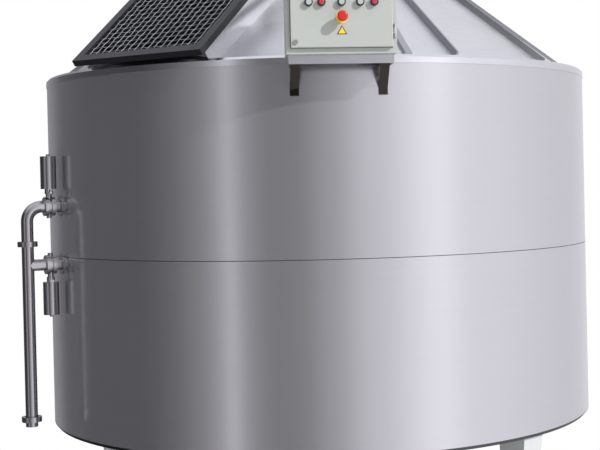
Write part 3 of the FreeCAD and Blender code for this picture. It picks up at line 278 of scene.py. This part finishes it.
SATIN = (0.57, 0.565, 0.585)
FINISHES = {
    "jacket_steel": metal("jacket_steel", SATIN, 0.18, (3, 3, 420), 0.004, 1.1, 5.0, 0.3, 0.8, 0.0,
                          0.025, 0.86),
    "roof_steel": metal("roof_steel", (0.7, 0.7, 0.72), 0.34, (30, 30, 300), 0.1, 0.7, 4.0, 0.5, 0.5, 0.25),
    # The ribs are the roof's own sheet. Their darker colour is painted shade for the shaded sides of the standing
    # seams.
    "rib_steel": metal("rib_steel", (0.42, 0.42, 0.45), 0.36, (200, 200, 200), 0.3, 0.5, 1.0, 0.4, 0.3, 0.15),
    "bright_steel": metal("bright_steel", (0.74, 0.745, 0.77), 0.16, (20, 20, 500), 0.2, 0.25, 1.6,
                          0.4, 0.2, 0.08),
    "pipe_steel": metal("pipe_steel", (0.44, 0.43, 0.44), 0.15, (400, 400, 40), 0.15, 0.2, 0.4, 0.35,
                        0.12, 0.08),
    "vessel_steel": metal("vessel_steel", (0.62, 0.62, 0.63), 0.3, (6, 6, 300), 0.2, 0.8, 1.0, 0.3, 0.5, 0.0),
    "base_steel": metal("base_steel", (0.1, 0.1, 0.105), 0.4, (8, 8, 300), 0.2, 0.6, 1.0, 0.5, 0.4, 0.0),
    "dark_steel": metal("dark_steel", (0.14, 0.14, 0.15), 0.45, (8, 8, 300), 0.2, 0.6, 0.5, 0.3, 0.4, 0.0),
    # The braces are stainless like the shelf. Their near-black colour is painted shade for their shaded front and
    # lower faces.
    "brace_steel": metal("brace_steel", (0.05, 0.045, 0.04), 0.22, (60, 60, 400), 0.2, 0.3, 0.6, 0.4,
                         0.1, 0.1),
    "wire_steel": metal("wire_steel", (0.78, 0.78, 0.79), 0.18, (300, 300, 300), 0.1, 0.2, 0.0, 0.3,
                        0.1, 0.05),
    "hinge_metal": metal("hinge_metal", (0.55, 0.55, 0.55), 0.34, (500, 500, 500), 0.3, 0.1, 0.0, 0.4,
                         0.05, 0.1),
    "piston_aluminium": metal("piston_aluminium", (0.72, 0.72, 0.73), 0.3, (40, 40, 900), 0.3),
    "brass_fitting": metal("brass_fitting", (0.6, 0.58, 0.55), 0.22, (500, 500, 500), 0.2, 0.1, 0.0,
                           0.4, 0.04, 0.1),
}
print("metals", len(FINISHES))

# %% [markdown]
# ## Coated and moulded finishes
# Powder coat and moulded plastic have a pebbled skin. The coat is a dielectric, so its colour is in the
# base and its gloss in the roughness. Hands change both a little, and dust changes the colour.


# %% Coated
PAINT_MARK_ROUGH, PEBBLE_STRENGTH, COAT_ROUGHNESS = 0.18, 0.6, 0.06


def coated(name, color, gloss, per_metre=900.0, depth=0.05, variation=0.08, marks=0.4, patch=0.12, dust=0.25,
           coat=0.0):
    """Paint, powder coat or plastic. `gloss` is the roughness, `depth` the pebble height in millimetres."""
    material, kit, shader = new_material(name)
    dull = group_node(kit, MARKS, patch_size=patch, amount=marks)
    powder = group_node(kit, DUST, amount=dust)
    skin = group_node(kit, SPECKLE, per_metre=per_metre)
    deep = (*[channel * (1 - variation) for channel in color], 1)
    base = mix_colors(kit, dull, (*color, 1), deep)
    kit.feed(shader.inputs["Base Color"], mix_colors(kit, powder, base, DUST_ON_PAINT))
    kit.feed(shader.inputs["Roughness"], kit.math("ADD", gloss, kit.math("MULTIPLY", dull, PAINT_MARK_ROUGH)))
    bump = {"Height": skin, "Strength": PEBBLE_STRENGTH, "Distance": depth * MM}
    kit.feed(shader.inputs["Normal"], kit.add("ShaderNodeBump", bump).outputs[0])
    if coat:
        shader.inputs["Coat Weight"].default_value = coat
        shader.inputs["Coat Roughness"].default_value = COAT_ROUGHNESS
    return material


FINISHES.update({
    "box_paint": coated("box_paint", (0.42, 0.44, 0.405), 0.38, 1400.0, 0.06, 0.06, 0.4, 0.15, 0.2),
    "black_paint": coated("black_paint", (0.01, 0.01, 0.012), 0.34, 1200.0, 0.04, 0.2, 0.5, 0.1, 0.02),
    "leg_paint": coated("leg_paint", (0.5, 0.51, 0.5), 0.42, 900.0, 0.06, 0.15, 0.6, 0.12, 0.35),
    "drive_paint": coated("drive_paint", (0.1, 0.17, 0.24), 0.34, 500.0, 0.12, 0.2, 0.5, 0.1, 0.3, 0.2),
    "foam": coated("foam", (0.78, 0.7, 0.46), 0.85, 300.0, 0.8, 0.2, 0.6, 0.05, 0.0),
    "seal_rubber": coated("seal_rubber", (0.02, 0.02, 0.02), 0.62, 1600.0, 0.04, 0.2, 0.5, 0.05, 0.2),
    "black_plastic": coated("black_plastic", (0.02, 0.02, 0.022), 0.36, 2600.0, 0.03, 0.2, 0.5, 0.04, 0.12),
    "grey_plastic": coated("grey_plastic", (0.42, 0.44, 0.44), 0.34, 2600.0, 0.03, 0.1, 0.4, 0.04, 0.12),
    "switch_plastic": coated("switch_plastic", (0.3, 0.31, 0.32), 0.45, 2000.0, 0.04, 0.15, 0.4, 0.04, 0.15),
    "yellow_plastic": coated("yellow_plastic", (0.85, 0.6, 0.03), 0.36, 2400.0, 0.03, 0.12, 0.4, 0.04, 0.1),
    "red_plastic": coated("red_plastic", (0.55, 0.015, 0.01), 0.26, 2400.0, 0.02, 0.2, 0.4, 0.03, 0.06, 0.4),
    "red_lens": coated("red_lens", (0.42, 0.03, 0.05), 0.14, 600.0, 0.1, 0.25, 0.3, 0.02, 0.05, 0.8),
})

for sub in frame["record"]["subparts"]:
    node = nodes[sub["node"]]
    node.data.materials.clear()
    node.data.materials.append(FINISHES[sub["material_slot"]])
print("finishes", len(FINISHES), "on", len(nodes), "nodes")

# %% [markdown]
# ## Pieces that CAD leaves out
# `revolved` turns an outline about a line, which gives washers, nuts, beads and domes with true edges.
# `keep` makes a finished mesh into a piece: it gets the finish of its slot and rides on its body.


# %% Piece tools
def revolved(mesh, outline, place, sides=32):
    """Add an outline of (radius, height) points turned about the local Z axis of `place`."""
    rings = []
    for index in range(sides):
        turn = Matrix.Rotation(math.tau * index / sides, 4, "Z")
        spot = place @ turn
        rings.append([mesh.verts.new(spot @ Vector((radius, 0, height))) for radius, height in outline])
    for index in range(sides):
        near, far = rings[index], rings[(index + 1) % sides]
        for step in range(len(outline)):
            after = (step + 1) % len(outline)
            mesh.faces.new((near[step], near[after], far[after], far[step]))


def cleaned(build):
    """Merge the doubles at poles, point the faces outwards and return a mesh."""
    bmesh.ops.remove_doubles(build, verts=build.verts, dist=1e-6)
    bmesh.ops.recalc_face_normals(build, faces=build.faces)
    mesh = bpy.data.meshes.new("piece")
    build.to_mesh(mesh)
    build.free()
    return mesh


def keep(name, mesh, slot, body="tank", replaced=None, smooth=False):
    mesh.name = name
    mesh.materials.clear()
    mesh.materials.append(FINISHES[slot])
    for face in mesh.polygons:
        face.use_smooth = smooth
    piece = bpy.data.objects.new(name, mesh)
    bpy.context.scene.collection.objects.link(piece)
    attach(piece, body)
    if replaced:
        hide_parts(replaced)
    return piece


def facing(point, direction):
    """A place at `point` whose Z axis looks along `direction`."""
    return Matrix.Translation(point) @ Vector(direction).to_track_quat("Z", "Y").to_matrix().to_4x4()


# %% [markdown]
# ## Geometry Nodes for what repeats
# A ring of nuts is one nut at each point of a circle. A woven screen is one crimped wire at each point of
# a line, with every other wire turned half way round, so that it passes over where its neighbour passes
# under. Each tree has named inputs and ends in real geometry with its material.


# %% Geometry trees
def node_tree(name, inputs):
    tree = bpy.data.node_groups.new(name, "GeometryNodeTree")
    for label, kind in inputs.items():
        tree.interface.new_socket(label, in_out="INPUT", socket_type=kind)
    tree.interface.new_socket("Geometry", in_out="OUTPUT", socket_type="NodeSocketGeometry")
    return Tree(tree), tree.nodes.new("NodeGroupInput").outputs, tree.nodes.new("NodeGroupOutput")


def end_tree(kit, end, instances, material):
    real = kit.add("GeometryNodeRealizeInstances", {0: instances})
    kit.feed(end.inputs[0], kit.add("GeometryNodeSetMaterial", {0: real, "Material": material}))
    return kit.tree


def ring_tree():
    kit, start, end = node_tree("ring_of_pieces", {
        "Item": "NodeSocketObject", "Count": "NodeSocketInt", "Radius": "NodeSocketFloat",
        "Finish": "NodeSocketMaterial"})
    circle = kit.add("GeometryNodeMeshCircle", {"Vertices": start["Count"], "Radius": start["Radius"]})
    item = kit.add("GeometryNodeObjectInfo", {"Object": start["Item"]}).outputs["Geometry"]
    placed = kit.add("GeometryNodeInstanceOnPoints", {"Points": circle, "Instance": item})
    return end_tree(kit, end, placed, start["Finish"])


def weave_tree():
    kit, start, end = node_tree("woven_wires", {
        "Wires": "NodeSocketInt", "Pitch": "NodeSocketFloat", "Half Length": "NodeSocketFloat",
        "Samples": "NodeSocketInt", "Crimp": "NodeSocketFloat", "Wire Radius": "NodeSocketFloat",
        "Phase": "NodeSocketFloat", "Finish": "NodeSocketMaterial"})
    length = kit.math("MULTIPLY", start["Half Length"], 2.0)
    step = kit.math("DIVIDE", length, kit.math("SUBTRACT", start["Samples"], 1.0))
    first = kit.add("ShaderNodeCombineXYZ", {0: kit.math("MULTIPLY", start["Half Length"], -1.0)})
    line = kit.add("GeometryNodeMeshLine", {"Count": start["Samples"], "Start Location": first,
                                            "Offset": kit.add("ShaderNodeCombineXYZ", {0: step})})
    along = kit.add("ShaderNodeSeparateXYZ", {0: kit.add("GeometryNodeInputPosition")}).outputs[0]
    angle = kit.math("MULTIPLY", kit.math("DIVIDE", along, start["Pitch"]), math.pi)
    wave = kit.math("COSINE", kit.math("ADD", angle, start["Phase"]))
    rise = kit.add("ShaderNodeCombineXYZ", {2: kit.math("MULTIPLY", wave, start["Crimp"])})
    crimped = kit.add("GeometryNodeSetPosition", {"Geometry": line, "Offset": rise})
    section = kit.add("GeometryNodeCurvePrimitiveCircle", {"Resolution": 6, "Radius": start["Wire Radius"]})
    wire = kit.add("GeometryNodeCurveToMesh", {"Curve": kit.add("GeometryNodeMeshToCurve", {0: crimped}),
                                               "Profile Curve": section, "Fill Caps": True})
    across = kit.math("MULTIPLY", kit.math("SUBTRACT", start["Wires"], 1.0), -0.5)
    corner = kit.add("ShaderNodeCombineXYZ", {1: kit.math("MULTIPLY", across, start["Pitch"])})
    rows = kit.add("GeometryNodeMeshLine", {"Count": start["Wires"], "Start Location": corner,
                                            "Offset": kit.add("ShaderNodeCombineXYZ", {1: start["Pitch"]})})
    odd = kit.math("MULTIPLY", kit.math("MODULO", kit.add("GeometryNodeInputIndex"), 2.0), math.pi)
    flip = kit.add("ShaderNodeCombineXYZ", {0: odd})
    placed = kit.add("GeometryNodeInstanceOnPoints", {"Points": rows, "Instance": wire, "Rotation": flip})
    return end_tree(kit, end, placed, start["Finish"])


def grown(tree, values):
    """The mesh that a geometry tree makes with these inputs."""
    holder = bpy.data.objects.new("holder", bpy.data.meshes.new("holder"))
    bpy.context.scene.collection.objects.link(holder)
    modifier = holder.modifiers.new("grow", "NODES")
    modifier.node_group = tree
    for item in tree.interface.items_tree:
        if item.in_out == "INPUT":
            modifier[item.identifier] = values[item.name]
    mesh = bpy.data.meshes.new_from_object(holder.evaluated_get(bpy.context.evaluated_depsgraph_get()))
    bpy.data.objects.remove(holder)
    return mesh


RING, WEAVE = ring_tree(), weave_tree()

# %% [markdown]
# ## The woven grille
# The screen over the hatch is woven from thin crimped wire, welded into a box-section frame. Straight
# crossed bars would look like a cage, so each wire is crimped by its own radius at every crossing.

# %% Grille
HATCH_TILT = math.radians(39)
GRILLE_LENGTH, GRILLE_HALF_WIDTH, FRAME_BAR = 0.9, 0.333, 0.04
HINGE_TO_GRILLE = 0.02
WIRE_RADIUS, WIRE_PITCH, WIRE_LEVEL = 1.25 * MM, 34 * MM, 7 * MM
WIRE_SAMPLES_PER_PITCH = 6
HINGE_POINT = Vector(JOINTS["grille_hinge"]["pos_m"])
HATCH = (Matrix.Translation(HINGE_POINT) @ local_axes(azimuth_of(HINGE_POINT))
         @ Matrix.Rotation(HATCH_TILT, 4, "X"))


def screen_wires(half_length, half_span, turn, phase):
    """One direction of the screen: wires along X, spread over Y, then turned in the grille's plane."""
    samples = round(2 * half_length / WIRE_PITCH * WIRE_SAMPLES_PER_PITCH) + 1
    mesh = grown(WEAVE, {"Wires": int(2 * half_span / WIRE_PITCH), "Pitch": WIRE_PITCH,
                         "Half Length": half_length, "Samples": samples, "Crimp": WIRE_RADIUS,
                         "Wire Radius": WIRE_RADIUS, "Phase": phase, "Finish": FINISHES["wire_steel"]})
    middle = Vector((0, -HINGE_TO_GRILLE - GRILLE_LENGTH / 2, WIRE_LEVEL))
    mesh.transform(HATCH @ Matrix.Translation(middle) @ Matrix.Rotation(turn, 4, "Z"))
    return mesh


half_wide, half_long = GRILLE_HALF_WIDTH - FRAME_BAR, GRILLE_LENGTH / 2 - FRAME_BAR
screen = bmesh.new()
for direction in ((half_wide, half_long, 0, 0), (half_long, half_wide, math.pi / 2, math.pi)):
    screen.from_mesh(screen_wires(*direction))
screen_mesh = bpy.data.meshes.new("screen")
screen.to_mesh(screen_mesh)
screen.free()
keep("woven_screen", screen_mesh, "wire_steel", "grille", "grille_wires", smooth=True)

# %% [markdown]
# ## Nuts, washers and weld beads
# The feet are held down by anchor nuts, the drive stands on a ring of nuts and the nozzles are welded to
# their rosettes. A nut is a chamfered hexagon on a washer, and a bead is a low ring that covers a joint.

# %% Fasteners and beads
NUT_OUTLINE = [(0, 0), (1, 0), (1, 0.62), (0.88, 0.78), (0, 0.78)]
WASHER_OUTLINE = [(0, 0), (1.28, 0), (1.32, 0.04), (1.32, 0.12), (1.28, 0.16), (0, 0.16)]
STUD_OUTLINE = [(0, 0.6), (0.52, 0.6), (0.52, 1.0), (0.44, 1.1), (0, 1.1)]


def nut_mesh(radius):
    build = bmesh.new()
    revolved(build, [(r * radius, h * radius) for r, h in WASHER_OUTLINE], Matrix(), 24)
    seat = Matrix.Translation((0, 0, 0.15 * radius))
    revolved(build, [(r * radius, h * radius) for r, h in NUT_OUTLINE], seat, 6)
    revolved(build, [(r * radius, h * radius) for r, h in STUD_OUTLINE], Matrix(), 16)
    return cleaned(build)


def ring_of_nuts(name, count, ring_radius, nut_radius, place, slot="hinge_metal", body="tank"):
    nut = bpy.data.objects.new("nut", nut_mesh(nut_radius))
    bpy.context.scene.collection.objects.link(nut)
    mesh = grown(RING, {"Item": nut, "Count": count, "Radius": ring_radius, "Finish": FINISHES[slot]})
    bpy.data.objects.remove(nut)
    mesh.transform(place)
    return keep(name, mesh, slot, body)


ANCHOR_RING, FOOT_PLATE = 1.225, 15 * MM
FLANGE_BOLT_RING, FLANGE_BOLT_RISE = 0.172, 8 * MM
ANCHOR_NUT_R, FLANGE_NUT_R = 13.5 * MM, 9.5 * MM
eighth = Matrix.Rotation(math.pi / 8, 4, "Z")
quarter = Matrix.Rotation(math.pi / 4, 4, "Z")
flange_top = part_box("top_flange")[1].z - FLANGE_BOLT_RISE
foot_place = Matrix.Translation((0, 0, FOOT_PLATE)) @ quarter
flange_place = Matrix.Translation((0, 0, flange_top)) @ eighth
ring_of_nuts("anchor_nuts", 4, ANCHOR_RING, ANCHOR_NUT_R, foot_place)
ring_of_nuts("flange_nuts", 8, FLANGE_BOLT_RING, FLANGE_NUT_R, flange_place)

PIPE_R, ROSETTE_FACE, BEAD_R, BEAD_SINK = 25.5 * MM, 3.3 * MM, 1.8 * MM, 0.3
beads = bmesh.new()
for joint in ("upper_valve_turn", "lower_valve_turn"):
    nozzle_z = JOINTS[joint]["pos_m"][2]
    outwards = radial(VALVES_AZ, 1, 0)
    place = facing(radial(VALVES_AZ, SHELL_R + ROSETTE_FACE, nozzle_z), outwards)
    arc = [math.pi * step / 6 for step in range(7)]
    outline = [(PIPE_R + BEAD_R * (1 + math.cos(a)) - BEAD_R * BEAD_SINK, BEAD_R * math.sin(a)) for a in arc]
    revolved(beads, outline, place)
keep("nozzle_welds", cleaned(beads), "pipe_steel", smooth=True)

# %% [markdown]
# ## The door's gasket and the plain warning triangle
# A black rubber bead shows as a thin dark line round the door. Below the stop button is a small yellow
# triangle with a black edge. It carries no symbol, because the model has no legends.

# %% Door details
STOP = Matrix.Translation(Vector(JOINTS["estop_twist"]["pos_m"])) @ local_axes(BOX_AZ)
DOOR_FACE, DOOR_BACK = 40 * MM, 58 * MM
DOOR_HALF_W, DOOR_LOW, DOOR_HIGH = 0.189, -0.11, 0.346
GASKET_R = 1.5 * MM
SIGN_SIDE, SIGN_DROP = 38 * MM, 52 * MM


def swept_loop(corners, radius, sides=8):
    """A bead round a closed flat loop in the local XZ plane, mitred at its corners."""
    build = bmesh.new()
    count = len(corners)
    rings = []
    for index, corner in enumerate(corners):
        back = (Vector(corner) - Vector(corners[index - 1])).normalized()
        ahead = (Vector(corners[(index + 1) % count]) - Vector(corner)).normalized()
        outward = Vector((back[2] + ahead[2], 0, -back[0] - ahead[0]))
        outward = outward * (2 / outward.length_squared)
        ring = []
        for side in range(sides):
            angle = math.tau * side / sides
            offset = outward * (radius * math.cos(angle)) + Vector((0, radius * math.sin(angle), 0))
            ring.append(build.verts.new(STOP @ (Vector(corner) + offset)))
        rings.append(ring)
    for index in range(count):
        near, far = rings[index], rings[(index + 1) % count]
        for side in range(sides):
            after = (side + 1) % sides
            build.faces.new((near[side], near[after], far[after], far[side]))
    return cleaned(build)


def triangle_plate(side, front, back, bevel):
    """An upright triangular plate with a bevelled front edge, centred under the stop button."""
    build = bmesh.new()
    reach = side / math.sqrt(3)
    layers = [(reach, back), (reach, front + bevel), (reach - bevel, front)]
    rings = []
    for radius, depth in layers:
        ring = []
        for corner in range(3):
            angle = math.pi / 2 + math.tau * corner / 3
            point = Vector((radius * math.cos(angle), depth, radius * math.sin(angle) - SIGN_DROP))
            ring.append(build.verts.new(STOP @ point))
        rings.append(ring)
    for near, far in zip(rings, rings[1:]):
        for corner in range(3):
            after = (corner + 1) % 3
            build.faces.new((near[corner], near[after], far[after], far[corner]))
    build.faces.new(rings[0])
    build.faces.new(rings[-1])
    return cleaned(build)


gasket_y = DOOR_BACK - GASKET_R
door_edge = [(-DOOR_HALF_W, gasket_y, DOOR_LOW), (DOOR_HALF_W, gasket_y, DOOR_LOW),
             (DOOR_HALF_W, gasket_y, DOOR_HIGH), (-DOOR_HALF_W, gasket_y, DOOR_HIGH)]
keep("door_gasket", swept_loop(door_edge, GASKET_R), "seal_rubber", "box_door", smooth=True)
SIGN_EDGE, SIGN_PLATE = 5 * MM, 0.8 * MM
SIGN_BEVEL = 0.2 * MM
sign_back = DOOR_FACE - SIGN_PLATE
border = triangle_plate(SIGN_SIDE, sign_back, DOOR_FACE, SIGN_BEVEL)
keep("sign_border", border, "black_plastic", "box_door")
inner_side = SIGN_SIDE - 2 * SIGN_EDGE
sign_face = triangle_plate(inner_side, DOOR_FACE - 2 * SIGN_PLATE, sign_back, SIGN_BEVEL)
keep("sign_face", sign_face, "yellow_plastic", "box_door")
print("pieces made")

# %% [markdown]
# ## Studio
# Satin steel shows its surroundings more than itself, so the light is mostly a matter of what stands
# round the tank. The world is a band of soft light and dark that changes with direction: dim on the left
# and behind the left shoulder, with one pale gap, and bright on the right. The eye itself sees plain
# white. One soft sun from the upper right gives the shadows under the control box.

# %% World
BAND = [  # azimuth from the front in degrees, brightness
    (-180, 0.5), (-150, 0.3), (-128, 0.12), (-105, 0.08), (-74, 0.07), (-62, 0.12), (-50, 0.24), (-42, 0.4),
    (-36, 0.85), (-30, 0.34), (-20, 0.18), (-8, 0.2), (4, 0.42), (20, 0.8), (50, 1.3), (64, 1.05), (135, 0.8),
]


COOL_TINT, SKY = (1, 0.985, 1.05), (0.95, 0.97, 1.05, 1)


def studio_world():
    world = bpy.data.worlds.new("studio")
    world.use_nodes = True
    kit = Tree(world.node_tree)
    kit.tree.nodes.clear()
    direction = kit.add("ShaderNodeTexCoord").outputs["Generated"]
    axes = kit.add("ShaderNodeSeparateXYZ", {0: direction})
    turn = kit.math("ARCTAN2", axes.outputs[0], kit.math("MULTIPLY", axes.outputs[1], -1.0))
    ramp = kit.add("ShaderNodeValToRGB", {0: kit.remap(turn, -math.pi, math.pi, 0.0, 1.0)})
    ramp.color_ramp.interpolation = "EASE"
    for index, (degrees, level) in enumerate(BAND):
        place = (degrees + 180) / 360
        stops = ramp.color_ramp.elements
        stop = stops[index] if index < 2 else stops.new(place)
        stop.position = place
        stop.color = (*[level * tint for tint in COOL_TINT], 1)
    up = kit.remap(axes.outputs[2], 0.45, 0.9, 0.0, 1.0)
    sides = mix_colors(kit, up, ramp.outputs[0], SKY)
    around = kit.add("ShaderNodeBackground", {"Color": sides, "Strength": 1.0})
    seen = kit.add("ShaderNodeBackground", {"Color": (1, 1, 1, 1), "Strength": 1.0})
    eye = kit.add("ShaderNodeLightPath").outputs["Is Camera Ray"]
    both = kit.add("ShaderNodeMixShader", {0: eye, 1: around.outputs[0], 2: seen.outputs[0]})
    out = kit.add("ShaderNodeOutputWorld")
    kit.feed(out.inputs[0], both.outputs[0])
    bpy.context.scene.world = world


studio_world()


# %% Sun, floor and camera
def aim(obj, direction):
    obj.rotation_euler = Vector(direction).to_track_quat("-Z", "Y").to_euler()


sun_data = bpy.data.lights.new("sun", "SUN")
SUN_STRENGTH, SUN_WIDTH = 3.0, math.radians(1.5)
sun_data.energy = SUN_STRENGTH
sun_data.angle = SUN_WIDTH
sun = bpy.data.objects.new("sun", sun_data)
bpy.context.scene.collection.objects.link(sun)
SUN_AZ, SUN_UP = math.radians(55), math.radians(32)
aim(sun, -radial(SUN_AZ, math.cos(SUN_UP), math.sin(SUN_UP)))

floor_mesh = bpy.data.meshes.new("floor")
FLOOR_HALF, FLOOR_Z = 40.0, -0.5 * MM
corners = [(-FLOOR_HALF, -FLOOR_HALF), (FLOOR_HALF, -FLOOR_HALF), (FLOOR_HALF, FLOOR_HALF),
           (-FLOOR_HALF, FLOOR_HALF)]
floor_mesh.from_pydata([(x, y, FLOOR_Z) for x, y in corners], [], [(0, 1, 2, 3)])
floor = bpy.data.objects.new("floor", floor_mesh)
bpy.context.scene.collection.objects.link(floor)
floor_mesh.materials.append(coated("floor_paint", (0.8, 0.8, 0.8), 0.6, 40.0, 0.05, 0.02, 0.3, 1.0, 0.0))
floor.visible_glossy = False
floor.visible_camera = False

camera_data = bpy.data.cameras.new("camera")
camera = bpy.data.objects.new("camera", camera_data)
bpy.context.scene.collection.objects.link(camera)
CAMERA_OUT = 4.932 * SHELL_R
CAMERA_UP = BASE_Z + 0.8409 * SHELL_R
SENSOR_WIDTH, LENS, SHIFT_X, SHIFT_Y = 36, 77.4, -0.1, -0.0484
TURN, TIP, ROLL = 0.032, -0.011, -0.0224
camera.location = (0, -CAMERA_OUT, CAMERA_UP)
camera.rotation_euler = (Matrix.Rotation(-TURN, 3, "Z") @ Matrix.Rotation(math.pi / 2 + TIP, 3, "X")
                         @ Matrix.Rotation(ROLL, 3, "Z")).to_euler()
camera_data.sensor_width = SENSOR_WIDTH
camera_data.lens = LENS
camera_data.shift_x = SHIFT_X
camera_data.shift_y = SHIFT_Y
bpy.context.scene.camera = camera
bpy.context.scene.view_settings.view_transform = "Standard"
